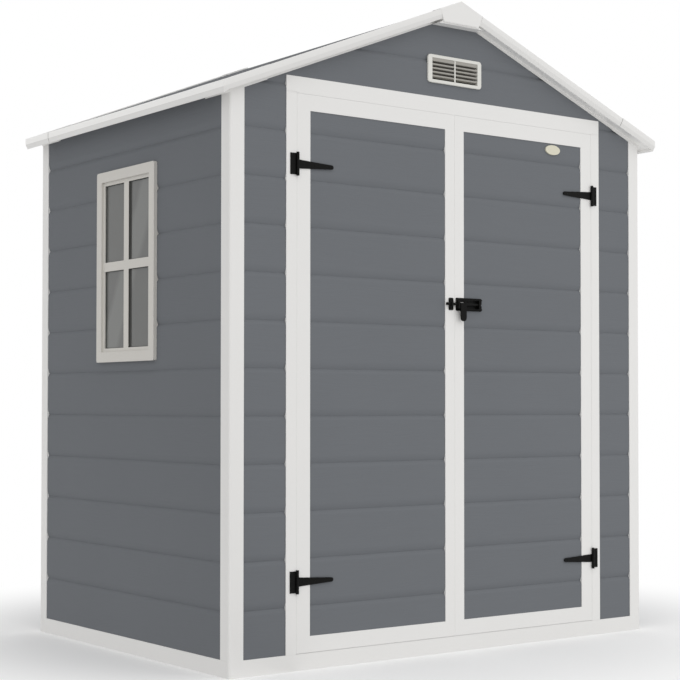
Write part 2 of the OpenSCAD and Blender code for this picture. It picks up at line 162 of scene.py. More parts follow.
class Shader(Nodes):
    """A material of one colour and roughness, which its patterns then vary."""

    def __init__(self, name, colour, roughness):
        self.material = bpy.data.materials.new(name)
        self.material.use_nodes = True
        super().__init__(self.material.node_tree)
        self.surface = self.tree.nodes["Principled BSDF"]
        self.surface.inputs["Base Color"].default_value = (*colour, 1)
        self.surface.inputs["Roughness"].default_value = roughness
        self.place = self.add("ShaderNodeTexCoord").outputs["Object"]

    def axes(self):
        made = self.add("ShaderNodeSeparateXYZ")
        self.link(self.place, made.inputs[0])
        return made.outputs

    def vector(self, x, y, z):
        made = self.add("ShaderNodeCombineXYZ")
        for k, value in enumerate((x, y, z)):
            self.feed(made, k, value)
        return made.outputs[0]

    def noise(self, where, scale, detail=2.0, roughness=0.5):
        made = self.add("ShaderNodeTexNoise")
        for key, value in (("Vector", where), ("Scale", scale), ("Detail", detail),
                           ("Roughness", roughness)):
            self.feed(made, key, value)
        return made.outputs["Fac"]

    def tint(self, factor, dark, light):
        """Colours the surface between dark and light."""
        made = self.add("ShaderNodeMix", data_type="RGBA")
        self.feed(made, "Factor", factor)
        made.inputs[6].default_value = (*dark, 1)
        made.inputs[7].default_value = (*light, 1)
        self.link(made.outputs[2], self.surface.inputs["Base Color"])

    def rough(self, factor, low, high):
        """Varies the roughness with a noise, most of which lies between a quarter and three."""
        self.link(self.spread(factor, 0.25, 0.75, low, high), self.surface.inputs["Roughness"])

    def emboss(self, height, distance):
        made = self.add("ShaderNodeBump")
        for key, value in (("Strength", 1.0), ("Distance", distance), ("Height", height)):
            self.feed(made, key, value)
        self.link(made.outputs["Normal"], self.surface.inputs["Normal"])


def scaled(colour, factor):
    return [c * factor for c in colour]


def siding_material(name, levels):
    """Grey resin boards, embossed with a wood grain that runs along each board."""
    colour = linear(*levels)
    s = Shader(name, colour, 0.6)
    s.surface.inputs["Specular IOR Level"].default_value = 0.08
    x, y, z = s.axes()
    run = s.math("ADD", x, y)
    # Each board has a grain of its own: lines along it, which wander, and fine fibres
    board = s.math("FLOOR", s.math("DIVIDE", s.math("SUBTRACT", z, LAP_FIRST), LAP_PITCH))
    offset = s.math("MULTIPLY", board, 3.71)
    slow = s.vector(s.math("MULTIPLY", run, 2.2), s.math("MULTIPLY", z, 9.0), offset)
    wander = s.math("MULTIPLY", s.noise(slow, 1.0, 2.0), 14.0)
    across = s.math("ADD", s.math("MULTIPLY", z, 190.0), wander)
    grain = s.noise(s.vector(s.math("MULTIPLY", run, 7.0), across, offset), 1.0, 5.0, 0.62)
    fibres = s.vector(s.math("MULTIPLY", run, 26.0), s.math("MULTIPLY", z, 900.0), offset)
    fine = s.noise(fibres, 1.0, 3.0)
    mottle = s.noise(s.place, 3.0, 3.0)
    tone = s.math("ADD", s.math("MULTIPLY", grain, 0.6), s.math("MULTIPLY", mottle, 0.4))
    s.tint(tone, scaled(colour, 0.93), scaled(colour, 1.07))
    s.rough(grain, 0.55, 0.7)
    s.emboss(s.math("ADD", grain, s.math("MULTIPLY", fine, 0.35)), 0.0007)
    return s.material


def trim_material(name, levels, roughness=0.42):
    """White resin with a very fine moulded texture."""
    colour = linear(*levels)
    s = Shader(name, colour, roughness)
    mottle = s.noise(s.place, 5.0, 4.0)
    texture = s.noise(s.place, 420.0, 3.0)
    s.tint(mottle, scaled(colour, 0.985), scaled(colour, 1.01))
    s.rough(texture, roughness - 0.06, roughness + 0.08)
    s.emboss(texture, 0.00012)
    return s.material


def roof_material():
    """Dark grey resin with a pebbled surface."""
    colour = linear(84, 87, 91)
    s = Shader("roof_resin", colour, 0.6)
    s.surface.inputs["Specular IOR Level"].default_value = 0.08
    pebble = s.noise(s.place, 240.0, 4.0, 0.6)
    mottle = s.noise(s.place, 4.0, 3.0)
    s.tint(mottle, scaled(colour, 0.92), scaled(colour, 1.08))
    s.rough(pebble, 0.52, 0.7)
    s.emboss(pebble, 0.0006)
    return s.material


def floor_material():
    """Grey resin floor with a raised tread of crossing ribs."""
    colour = linear(112, 115, 119)
    s = Shader("floor_resin", colour, 0.5)
    x, y, _ = s.axes()
    ribs = []
    for a, b in ((1.0, 1.0), (1.0, -1.0)):
        line = s.math("ADD", s.math("MULTIPLY", x, a), s.math("MULTIPLY", y, b))
        wave = s.math("SINE", s.math("MULTIPLY", line, 150.0))
        ribs.append(s.spread(wave, 0.55, 0.85, 0.0, 1.0))
    tread = s.math("MAXIMUM", *ribs)
    texture = s.noise(s.place, 300.0, 3.0)
    s.tint(s.noise(s.place, 6.0, 4.0), scaled(colour, 0.9), scaled(colour, 1.08))
    s.rough(texture, 0.45, 0.6)
    s.emboss(s.math("ADD", tread, s.math("MULTIPLY", texture, 0.1)), 0.0012)
    return s.material


def hardware_material():
    """Black painted steel with a slight orange peel."""
    colour = linear(15, 15, 14)
    s = Shader("black_paint", colour, 0.45)
    s.surface.inputs["Specular IOR Level"].default_value = 0.1
    peel = s.noise(s.place, 650.0, 2.0)
    s.tint(s.noise(s.place, 40.0, 3.0), scaled(colour, 0.8), scaled(colour, 1.25))
    s.rough(peel, 0.34, 0.5)
    s.emboss(peel, 0.0001)
    return s.material


def seal_material():
    """Dark grey rubber with a dull, slightly uneven surface."""
    colour = linear(74, 74, 72)
    s = Shader("rubber_seal", colour, 0.7)
    s.surface.inputs["Specular IOR Level"].default_value = 0.2
    s.tint(s.noise(s.place, 60.0, 3.0), scaled(colour, 0.85), scaled(colour, 1.15))
    s.rough(s.noise(s.place, 500.0, 2.0), 0.62, 0.78)
    return s.material


# Slanting distances, in metres, over which the painted reflection, a pale band in the glazing,
# starts and ends
REFLECTION_START = (0.605, 0.640)
REFLECTION_END = (0.715, 0.75)


def glass_material():
    """Grey glazing, with a painted reflection: a paler band that slants across the four panes."""
    colour = linear(105, 106, 104)
    s = Shader("glazing", colour, 0.16)
    _, y, z = s.axes()
    slant = s.math("ADD", y, s.math("MULTIPLY", z, 0.5))
    wander = s.math("ADD", slant, s.math("MULTIPLY", s.noise(s.place, 9.0, 2.0), 0.03))
    # Painted reflection: a pale band that slants across the panes
    reflection_band = s.math("MULTIPLY", s.spread(wander, *REFLECTION_START, 0.0, 1.0),
                  s.spread(wander, *REFLECTION_END, 1.0, 0.0))
    haze = s.math("MULTIPLY", s.noise(s.place, 5.0, 3.0), 0.25)
    s.tint(s.math("ADD", reflection_band, haze), colour, scaled(colour, 1.5))
    s.rough(s.noise(s.place, 30.0, 2.0), 0.12, 0.2)
    s.surface.inputs["Transmission Weight"].default_value = 0.15
    s.surface.inputs["IOR"].default_value = 1.49
    return s.material


MATERIALS = {
    "siding": siding_material("grey_boards", (109, 112, 116)),
    "trim": trim_material("white_trim", (227, 226, 224)),
    "window_trim": trim_material("warm_white_trim", (202, 199, 193)),
    "vent_trim": trim_material("vent_white", (218, 217, 211)),
    "badge": trim_material("bare_badge", (214, 210, 190), 0.3),
    "roof": roof_material(),
    "floor": floor_material(),
    "window_glass": glass_material(),
    "hardware": hardware_material(),
    "seal": seal_material(),
    # Painted shade: the vent blades are a greyer white than the frame, for the shade in the vent's
    # recess
    "vent_blades_painted_shade": trim_material("vent_blades_painted_shade", (158, 155, 148)),
    # Painted light: a brighter white for the soffits and upright sides of the roof trim
    "painted_light_trim": trim_material("painted_light_trim", (249, 248, 246)),
    # Painted shade: a darker white for the slanting lower half of the roof trim's faces
    "painted_shade_trim": trim_material("painted_shade_trim", (220, 219, 217)),
    "joint": trim_material("joint_shadow", (168, 167, 165)),
}

# ---- Making pieces ----

SHARP = math.radians(30)
CORNER_STEPS = 6
RIM_STEPS = 4
DOME_SIDES = 12
DOME_RINGS = 4
# Angles in degrees up to which shading is smooth
SMOOTH_MOULDING = 35
SMOOTH_BOARDS = 50
SMOOTH_SCREWS = 60
NORMAL_WEIGHT = 60


def put(name, mesh, slot, body, replaces=(), finish=None):
    """Links a mesh as a piece that rides on a body and has the finish of its slot or its own."""
    mesh.materials.clear()
    mesh.materials.append(MATERIALS[finish or slot])
    piece = bpy.data.objects.new(name, mesh)
    bpy.context.scene.collection.objects.link(piece)
    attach(piece, body)
    if replaces:
        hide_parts(*replaces)
    return piece


def finish_moulding(bm, node, suffix="_moulded", replaces=True, finish=None):
    """Makes a piece of a node's own slot and body, by default in place of the node."""
    name = node + suffix
    replaced = [node] if replaces else ()
    return smooth(put(name, mesh_of(name, bm), SLOT[node], BODY[node], replaced, finish))


def smooth(piece, angle=SMOOTH_MOULDING):
    """Smooth shading that leaves flat faces flat."""
    mesh = piece.data
    for face in mesh.polygons:
        face.use_smooth = True
    mesh.set_sharp_from_angle(angle=math.radians(angle))
    normals = piece.modifiers.new("flat_faces", "WEIGHTED_NORMAL")
    normals.keep_sharp = True
    normals.weight = NORMAL_WEIGHT
    return piece


def solid_of(node):
    """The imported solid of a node, with its vertices joined and its flat faces whole."""
    source = frame["nodes"][node].data
    bm = bmesh.new()
    index = {}
    corner = []
    for vertex in source.vertices:
        key = tuple(round(c, 6) for c in vertex.co)
        if key not in index:
            index[key] = bm.verts.new(vertex.co)
        corner.append(index[key])
    for face in source.polygons:
        loop = [corner[k] for k in face.vertices]
        if len(set(loop)) == len(loop) and not bm.faces.get(loop):
            bm.faces.new(loop)
    bmesh.ops.dissolve_limit(bm, angle_limit=math.radians(0.5), verts=bm.verts, edges=bm.edges)
    return bm


def round_edges(bm, width, segments=3, where=None):
    """Rounds every sharp edge, or those of them whose middle passes a test."""
    bm.normal_update()
    sharp = [e for e in bm.edges if len(e.link_faces) == 2 and e.calc_face_angle(0) > SHARP]
    if where:
        sharp = [e for e in sharp if where((e.verts[0].co + e.verts[1].co) / 2)]
    bmesh.ops.bevel(bm, geom=sharp, offset=width, offset_type="OFFSET", segments=segments,
                    profile=0.5, affect="EDGES", clamp_overlap=True)


def mesh_of(name, bm):
    """The mesh of a BMesh, which is used up, with its faces turned outwards."""
    bmesh.ops.recalc_face_normals(bm, faces=bm.faces)
    mesh = bpy.data.meshes.new(name)
    bm.to_mesh(mesh)
    bm.free()
    return mesh


def moulded(node, width, segments=3, outer=None):
    """A node's own solid with its edges rounded, as a moulding has them. Outer holds a larger
    width and a test of the edges that it is for."""
    bm = solid_of(node)
    if outer:
        round_edges(bm, outer[0], RIM_STEPS, outer[1])
    round_edges(bm, width, segments)
    return finish_moulding(bm, node)


def prism(bm, outline, low, high, axis):
    """Adds a closed prism. The outline holds pairs in the two other axes, in their order."""

    def at(pair, level):
        point = list(pair)
        point.insert(axis, level)
        return bm.verts.new(point)

    ends = [[at(pair, level) for pair in outline] for level in (low, high)]
    bm.faces.new(ends[0])
    bm.faces.new(ends[1])
    for k in range(len(outline)):
        n = (k + 1) % len(outline)
        bm.faces.new((ends[0][k], ends[0][n], ends[1][n], ends[1][k]))


def ring(bm, outer, inner, low, high, axis, radius=0.0):
    """Adds a closed ring between two upright rectangles, given as (left, right, bottom, top). It
    faces along the axis, and its outer corners may be round."""
    run = 1 - axis
    steps = CORNER_STEPS if radius else 0

    def at(u, z, level):
        point = [0.0, 0.0, z]
        point[run], point[axis] = u, level
        return bm.verts.new(point)

    sides = []
    for level in (low, high):
        arcs, inside = [], []
        for k, (su, sz) in enumerate(((1, 1), (-1, 1), (-1, -1), (1, -1))):
            u = (outer[1] if su > 0 else outer[0]) - su * radius
            z = (outer[3] if sz > 0 else outer[2]) - sz * radius
            turns = [math.radians(90) * (k + t / max(steps, 1)) for t in range(steps + 1)]
            arcs.append([at(u + radius * math.cos(a), z + radius * math.sin(a), level)
                         for a in turns])
            inside.append(at(inner[1] if su > 0 else inner[0],
                             inner[3] if sz > 0 else inner[2], level))
        sides.append((arcs, inside))
        for k in range(4):
            n = (k + 1) % 4
            bm.faces.new((inside[k], arcs[k][-1], arcs[n][0], inside[n]))
            for a, b in zip(arcs[k], arcs[k][1:]):
                bm.faces.new((inside[k], a, b))
    (arcs_low, inside_low), (arcs_high, inside_high) = sides
    rim_low = [v for arc in arcs_low for v in arc]
    rim_high = [v for arc in arcs_high for v in arc]
    for loop_low, loop_high in ((rim_low, rim_high), (inside_low, inside_high)):
        for k in range(len(loop_low)):
            n = (k + 1) % len(loop_low)
            bm.faces.new((loop_low[k], loop_low[n], loop_high[n], loop_high[k]))


def dome(bm, x, y, z, radius, height):
    """Adds the low round head of a screw, which faces the front."""
    rings = []
    for k in range(DOME_RINGS):
        turn = math.radians(90) * k / DOME_RINGS
        reach = radius * math.cos(turn)
        level = y - height * math.sin(turn)
        rings.append([bm.verts.new((x + reach * math.cos(a), level, z + reach * math.sin(a)))
                      for a in (math.radians(360) * t / DOME_SIDES for t in range(DOME_SIDES))])
    for one, two in zip(rings, rings[1:]):
        for k in range(DOME_SIDES):
            n = (k + 1) % DOME_SIDES
            bm.faces.new((one[k], one[n], two[n], two[k]))
    bm.faces.new(rings[-1])
    bm.faces.new(rings[0])


# ---- Siding ----


CURVE_ABOVE = 2.0
CURVE_BELOW = 1.5


def lap_curve(offset):
    """Depth of the groove at a height over its lap line: the board above rolls in, and the next
    one comes back out."""
    if offset >= 0:
        return LAP_DEPTH * max(0.0, 1 - offset / LAP_ABOVE) ** CURVE_ABOVE
    return LAP_DEPTH * max(0.0, 1 + offset / LAP_BELOW) ** CURVE_BELOW


# Where the groove's section is drawn, as shares of its height below and above the lap line
LAP_SAMPLES_DOWN = [-1.0, -0.75, -0.5, -0.3, -0.15, -0.05, 0.0]
LAP_SAMPLES_UP = [0.03, 0.08, 0.15, 0.25, 0.37, 0.5, 0.65, 0.8, 1.0]
LAPS = [LAP_FIRST + k * LAP_PITCH for k in range(LAP_COUNT)]
MICRON = 0.001 * MM


def board_depth(z):
    return max(lap_curve(z - lap) for lap in LAPS)


def board_levels(low, high, extra=()):
    """Heights at which the boards' section is drawn."""
    offsets = [share * LAP_BELOW for share in LAP_SAMPLES_DOWN]
    offsets += [share * LAP_ABOVE for share in LAP_SAMPLES_UP]
    levels = {round(lap + offset, 6) for lap in LAPS for offset in offsets}
    levels |= {round(z, 6) for z in (low, high, *extra)}
    return sorted(z for z in levels if low - MICRON <= z <= high + MICRON)


def slab(name, cells, outer, inner):
    """A wall with two matching faces. Cells hold flat points, and outer and inner place a point on
    either face."""
    index, flat, front = {}, [], []
    for cell in cells:
        loop = []
        for point in cell:
            key = (round(point[0], 6), round(point[1], 6))
            if key not in index:
                index[key] = len(flat)
                flat.append(point)
            if index[key] not in loop:
                loop.append(index[key])
        if len(loop) > 2:
            front.append(loop)
    directed = {(a, b) for loop in front for a, b in zip(loop, loop[1:] + loop[:1])}
    count = len(flat)
    rims = [(b, a, a + count, b + count) for a, b in directed if (b, a) not in directed]
    back = [[k + count for k in reversed(loop)] for loop in front]
    points = [outer(p) for p in flat] + [inner(p) for p in flat]
    mesh = bpy.data.meshes.new(name)
    mesh.from_pydata(points, [], front + back + sorted(rims))
    bm = bmesh.new()
    bm.from_mesh(mesh)
    bmesh.ops.recalc_face_normals(bm, faces=bm.faces)
    bm.to_mesh(mesh)
    bm.free()
    return mesh


def boarded(node, axis, hole=None, under_roof=False):
    """A wall of lap siding in the space of a node. The axis is the one that it faces along."""
    low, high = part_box(node)
    run = 1 - axis
    outward = -1 if (low + high)[axis] < 0 else 1
    face = low[axis] if outward < 0 else high[axis]
    inner_face = high[axis] if outward < 0 else low[axis]
    columns = [low[run], high[run]]
    extra = []
    if hole:
        hole_low, hole_high = hole
        columns += [hole_low[run], hole_high[run]]
        extra += [hole_low.z, hole_high.z]
    if under_roof:
        if low[run] < 0 < high[run]:
            columns.append(0.0)
        extra += [roof_under(c) for c in columns if low.z < roof_under(c) < high.z]
    columns = sorted(columns)
    levels = board_levels(low.z, high.z, extra)

    def clamp(u, z):
        if not under_roof:
            return u
        reach = half_width_at(z)
        return max(-reach, min(reach, u))

    def in_hole(u, z):
        return hole and hole_low[run] < u < hole_high[run] and hole_low.z < z < hole_high.z

    cells = []
    for z0, z1 in zip(levels, levels[1:]):
        for u0, u1 in zip(columns, columns[1:]):
            if in_hole((u0 + u1) / 2, (z0 + z1) / 2):
                continue
            corners = [(clamp(u, z), z) for u, z in ((u0, z0), (u1, z0), (u1, z1), (u0, z1))]
            if max(c[0] for c in corners) - min(c[0] for c in corners) > MICRON:
                cells.append(corners)

    def outer(point):
        depth = face - outward * board_depth(point[1])
        return (point[0], depth, point[1]) if axis == 1 else (depth, point[0], point[1])

    def inner(point):
        return (point[0], inner_face, point[1]) if axis == 1 else (inner_face, point[0], point[1])

    name = node + "_boards"
    piece = put(name, slab(name, cells, outer, inner), SLOT[node], BODY[node], [node])
    return smooth(piece, SMOOTH_BOARDS)


def shrunk(node, amount):
    """The box of a node, smaller by an amount on every side."""
    low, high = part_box(node)
    margin = Vector((amount, amount, amount))
    return low + margin, high - margin


WINDOW_FLANGE = 20 * MM
VENT_FLANGE = 10 * MM
boarded("front_wall_left", 1, under_roof=True)
boarded("front_wall_right", 1, under_roof=True)
boarded("front_gable", 1, hole=shrunk("front_vent", VENT_FLANGE), under_roof=True)
boarded("back_wall", 1, hole=shrunk("back_vent", VENT_FLANGE), under_roof=True)
boarded("left_wall", 0, hole=shrunk("window_frame", WINDOW_FLANGE))
boarded("right_wall", 0)
boarded("left_door_panel", 1)
boarded("right_door_panel", 1)

# ---- White trim ----

POST_EDGE = 1.0 * MM
SILL_EDGE = 1.2 * MM
ROOF_TRIM_EDGE = 0.9 * MM
ROOF_TRIM_RIM = 2.2 * MM
RIDGE_END_EDGE = 1.5 * MM
RIDGE_END_RIM = 3.0 * MM
RIM_DEPTH = 3 * MM
ROOF_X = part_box("right_eave_trim")[1].x
ROOF_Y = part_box("back_left_rake_trim")[1].y

for node in ("front_left_post", "front_right_post", "back_left_post", "back_right_post"):
    moulded(node, POST_EDGE, 2)
for node in ("back_sill", "left_sill", "right_sill"):
    moulded(node, SILL_EDGE)


# Slots after a roof trim's own white: a painted light and a painted shade
PAINTED_LIGHT, PAINTED_SHADE = 1, 2


def tone(piece):
    """Paints light on the soffits and the upright sides of a roof trim, as a brighter white, and
    paints shade on the slanting lower half of its front and back faces, as a softer one."""
    for finish in ("painted_light_trim", "painted_shade_trim"):
        piece.data.materials.append(MATERIALS[finish])
    for face in piece.data.polygons:
        x, y, z = face.normal
        soffit = z < -0.8
        upright_side = abs(x) > 0.9 and z > -0.05
        slanting_face = abs(y) > 0.9 and -0.4 < z < -0.1
        if soffit or upright_side:
            face.material_index = PAINTED_LIGHT
        elif slanting_face:
            face.material_index = PAINTED_SHADE


def on_roof_rim(point):
    """Whether a point is on the outer face of the roof trim."""
    return max(abs(point.x) - ROOF_X, abs(point.y) - ROOF_Y) > -RIM_DEPTH


for node in ("left_eave_trim", "right_eave_trim", "front_left_rake_trim", "front_right_rake_trim",
             "back_left_rake_trim", "back_right_rake_trim", "roof_corner_caps"):
    tone(moulded(node, ROOF_TRIM_EDGE, 2, (ROOF_TRIM_RIM, on_roof_rim)))
for node in ("front_ridge_end", "back_ridge_end"):
    tone(moulded(node, RIDGE_END_EDGE, 3, (RIDGE_END_RIM, on_roof_rim)))

# Shadow line in the joint between a corner cap and the trim that runs into it. Its reach takes in
# the slant under the trim's face.
JOINT_W = 2.5 * MM
JOINT_RISE = 0.3 * MM
JOINT_SINK = 0.6 * MM
JOINT_REACH = 6 * MM
TOUCHING = 0.1 * MM


def joint_line(bm, node, along, outward):
    """Adds the line at the end of a trim, down its face and down the slant under that."""
    solid = solid_of(node)
    points = [v.co.copy() for v in solid.verts]
    solid.free()
    face = max(p.dot(outward) for p in points)
    end = max(p.dot(along) for p in points if p.dot(outward) > face - TOUCHING)
    edge = [p for p in points if abs(p.dot(along) - end) < TOUCHING
            and p.dot(outward) > face - JOINT_REACH]
    edge.sort(key=lambda p: p.z)
    upright = [p for p in edge if p.dot(outward) > face - TOUCHING]
    for low, high in ((edge[0], upright[0]), (upright[0], upright[-1])):
        verts = [bm.verts.new(p + along * step + outward * depth) for p in (low, high)
                 for step in (-JOINT_W, 0) for depth in (-JOINT_SINK, JOINT_RISE)]
        bmesh.ops.convex_hull(bm, input=verts)


def joint_lines():
    """The lines show at the back ends of the eaves and low on the right rakes."""
    bm = bmesh.new()
    down_right = Vector((math.cos(ROOF_PITCH), 0, -math.sin(ROOF_PITCH)))
    for side, name in ((-1, "left"), (1, "right")):
        joint_line(bm, name + "_eave_trim", Vector((0, 1, 0)), Vector((side, 0, 0)))
    for end, name in ((-1, "front"), (1, "back")):
        joint_line(bm, name + "_right_rake_trim", down_right, Vector((0, end, 0)))
    put("cap_joints", mesh_of("cap_joints", bm), "trim", "shed", finish="joint")


joint_lines()

# ---- Door surround and leaves ----

# They meet in narrow lips at the face, with the real gap behind these
LIP_DEPTH = 4 * MM
LIP_GAP = 0.5 * MM
MEETING_GAP = 0.24 * MM
HEADER_LIP = 2.25 * MM
SILL_LIP = 1.0 * MM
LIP_EDGE = 0.5 * MM
HINGE_X = 669.5 * MM


def member(node, outline):
    """A member of the door surround, drawn as seen from the front over its own solid. The outline
    is that of its face, which reaches out in lips."""
    low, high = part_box(node)
    bm = bmesh.new()
    core = [(low.x, low.z), (high.x, low.z), (high.x, high.z), (low.x, high.z)]
    prism(bm, core, low.y + LIP_DEPTH, high.y, 1)
    prism(bm, outline, low.y, low.y + LIP_DEPTH, 1)
    round_edges(bm, LIP_EDGE / 2, 2)
    return finish_moulding(bm, node)


def door_surround():
    """The jambs, the header and the sill, each with its lip towards the leaves."""
    jamb_low, jamb_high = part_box("left_jamb")
    header_low, header_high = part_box("door_header")
    sill_low, sill_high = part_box("front_sill")
    jamb_edge = HINGE_X + LIP_GAP / 2
    header_edge = header_low.z - HEADER_LIP
    for node, side in (("left_jamb", -1), ("right_jamb", 1)):
        member(node, [(side * x, z) for x, z in (
            (-jamb_low.x, jamb_low.z), (jamb_edge, jamb_low.z), (jamb_edge, jamb_high.z),
            (-jamb_low.x, jamb_high.z))])
    member("door_header", [
        (header_low.x, header_low.z), (-jamb_edge, header_low.z), (-jamb_edge, header_edge),
        (jamb_edge, header_edge), (jamb_edge, header_low.z), (header_high.x, header_low.z),
        (header_high.x, header_high.z), (header_low.x, header_high.z)])
    bm = solid_of("front_sill")
    lip_front, lip_back = sill_low.y, sill_low.y + LIP_DEPTH
    lip_foot, lip_top = sill_high.z - LIP_EDGE, sill_high.z + SILL_LIP
    prism(bm, [(lip_front, lip_foot), (lip_back, lip_foot), (lip_back, lip_top),
               (lip_front, lip_top)], -jamb_edge, jamb_edge, 0)
    round_edges(bm, LIP_EDGE, 2)
    finish_moulding(bm, "front_sill")


def leaf_frame(node):
    """The frame of a leaf: one moulding with a lip round its face."""
    low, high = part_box(node)
    panel_low, panel_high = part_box(node.replace("frame", "panel"))
    side = -1 if low.x < 0 else 1
    reach = max(-low.x, high.x)
    hinge_lip = HINGE_X - LIP_GAP / 2 - reach
    meeting_lip = min(abs(low.x), abs(high.x)) - MEETING_GAP / 2
    left, right = (hinge_lip, meeting_lip) if side < 0 else (meeting_lip, hinge_lip)
    bottom = low.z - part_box("front_sill")[1].z - SILL_LIP - LIP_GAP
    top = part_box("door_header")[0].z - HEADER_LIP - LIP_GAP - high.z
    opening = (panel_low.x, panel_high.x, panel_low.z, panel_high.z)
    bm = bmesh.new()
    rim = (low.x - left, high.x + right, low.z - bottom, high.z + top)
    ring(bm, rim, opening, low.y, low.y + LIP_DEPTH, 1)
    ring(bm, (low.x, high.x, low.z, high.z), opening, low.y + LIP_DEPTH, high.y, 1)
    bmesh.ops.recalc_face_normals(bm, faces=bm.faces)
    round_edges(bm, LIP_EDGE, 2)
    return finish_moulding(bm, node)


door_surround()
leaf_frame("left_door_frame")
leaf_frame("right_door_frame")

# ---- Window ----

window_low, window_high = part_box("window_frame")
pane_low, pane_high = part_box("window_glass")
SASH_EDGE = 0.8 * MM
RIM_EDGE = 3.5 * MM
RIM_WIDTH = 10 * MM
SKIRT_IN = 1.5 * MM
SKIRT_DEPTH = 8 * MM
SKIRT_CORNER = 6 * MM
UPRIGHT_BAR = 34 * MM
LEVEL_BAR = 32 * MM
SEAL_T = 0.6 * MM
SEAL_LIP = 2 * MM
# Lip beside the bar in the front panes, widened as painted shadow of the bar
SEAL_LIP_IN_BAR_SHADOW = 9 * MM
SEAL_DEPTH = 3 * MM
SEAL_LIP_T = 1 * MM
SEAL_TO_GLASS = 0.05 * MM


def window_frame():
    """The moulded frame, sash and bars, with a skirt behind it that closes the grooves of the
    wall."""
    middle_z = (window_low.z + window_high.z) / 2

    def on_outer_rim(point):
        past_side = abs(point.y) > window_high.y - RIM_WIDTH
        past_level = abs(point.z - middle_z) > window_high.z - middle_z - RIM_WIDTH
        return point.x < window_low.x + MM and (past_side or past_level)

    moulded("window_frame", SASH_EDGE, 2, (RIM_EDGE, on_outer_rim))
    outer, inner = ((window_low.y + inset, window_high.y - inset,
                     window_low.z + inset, window_high.z - inset)
                    for inset in (SKIRT_IN, WINDOW_FLANGE - MM))
    bm = bmesh.new()
    ring(bm, outer, inner, BOARD_X - MM, BOARD_X + SKIRT_DEPTH, 0, SKIRT_CORNER)
    smooth(put("window_skirt", mesh_of("window_skirt", bm), "window_trim", "shed"))


def window_seals():
    """A dark seal round each pane. It lines the pane's edges and has a lip on the glass. In the two
    panes nearer the front its lining is deeper and its lip is wider beside the bar, as painted
    shadow of the bar."""
    bm = bmesh.new()
    middle_z = (pane_low.z + pane_high.z) / 2
    level_foot, level_top = middle_z - LEVEL_BAR / 2, middle_z + LEVEL_BAR / 2
    for y0, y1 in ((pane_low.y, -UPRIGHT_BAR / 2), (UPRIGHT_BAR / 2, pane_high.y)):
        for z0, z1 in ((pane_low.z, level_foot), (level_top, pane_high.z)):
            rim = (y0, y1, z0, z1)
            lining = (y0 + SEAL_T, y1 - SEAL_T, z0 + SEAL_T, z1 - SEAL_T)
            # Deeper lining and wider lip in the front panes: painted shadow of the bar
            depth = 2 * SEAL_DEPTH if y1 < 0 else SEAL_DEPTH
            ring(bm, rim, lining, pane_low.x - depth, pane_low.x, 0)
            bar_shadow_lip = SEAL_LIP_IN_BAR_SHADOW if y1 < 0 else SEAL_LIP
            lip = (y0 + SEAL_LIP, y1 - bar_shadow_lip, z0 + SEAL_LIP, z1 - SEAL_LIP)
            ring(bm, rim, lip, pane_low.x - SEAL_LIP_T, pane_low.x - SEAL_TO_GLASS, 0)
    smooth(put("window_seals", mesh_of("window_seals", bm), "hardware", "shed", finish="seal"))


window_frame()
window_seals()

# ---- Vents ----

VENT_SIDE = 18.5 * MM
VENT_EDGE = 11.5 * MM
VENT_CORNER = 12 * MM
VENT_ROUND = 3 * MM
VENT_RIM = 5 * MM
VENT_FINE_EDGE = 0.8 * MM
MULLION_HALF = 2.5 * MM
MULLION_IN = 1.5 * MM
MULLION_BACK = 5 * MM
VENT_ROWS = 5
BLADE_PITCH = 13.5 * MM
BLADE_LIFT = 2.2 * MM
BLADE_IN = 2 * MM
# Section of a blade, as depth behind its place and height over its front edge, in millimetres
BLADE = [(0, 0), (1.2, -5.2), (15, -8.5), (15, -6.9), (4, -3.6), (3, 0)]
TOP_BLADE = [(0, 8), (0, 0), (1.2, -5.2), (15, -8.5), (15, -6.9), (4, -3.6), (3, 0), (3, 8)]


